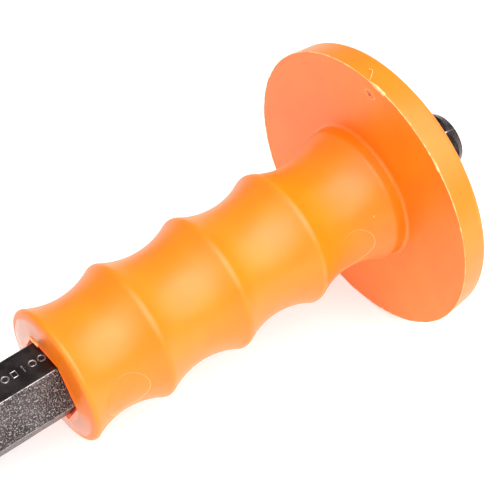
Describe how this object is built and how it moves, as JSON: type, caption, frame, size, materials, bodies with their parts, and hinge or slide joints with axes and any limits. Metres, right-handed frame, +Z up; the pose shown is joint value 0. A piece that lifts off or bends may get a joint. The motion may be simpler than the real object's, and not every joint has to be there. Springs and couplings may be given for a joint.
{
  "type": "cold chisel",
  "caption": "Hexagonal cold chisel with a forged flat blade, a chamfered struck head and a soft orange hand guard with finger scallops and a wide disc.",
  "frame": {"origin": "on the floor, under the middle of the tool's box as it lies on its guard's rim and its blade", "axes": "+X from the struck head towards the cutting edge, +Z up; the tool's own axis leans down towards the blade by 8.6 degrees, and the cutting edge runs along Y"},
  "size_m": [0.2977, 0.0844, 0.0841],
  "materials": {
    "lacquered_steel": "dark clear-lacquered forged steel, shot-blasted in places, satin",
    "orange_moulding": "soft satin orange moulded plastic"
  },
  "bodies": {
    "chisel": {"chisel": "lacquered_steel"},
    "guard": {"hand_guard": "orange_moulding"}
  },
  "joints": [
    {"name": "guard_slide", "type": "slide", "parent": "chisel", "child": "guard", "axis": [-0.9886, 0, 0.1503], "range_m": [-0.09, 0.136]}
  ]
}
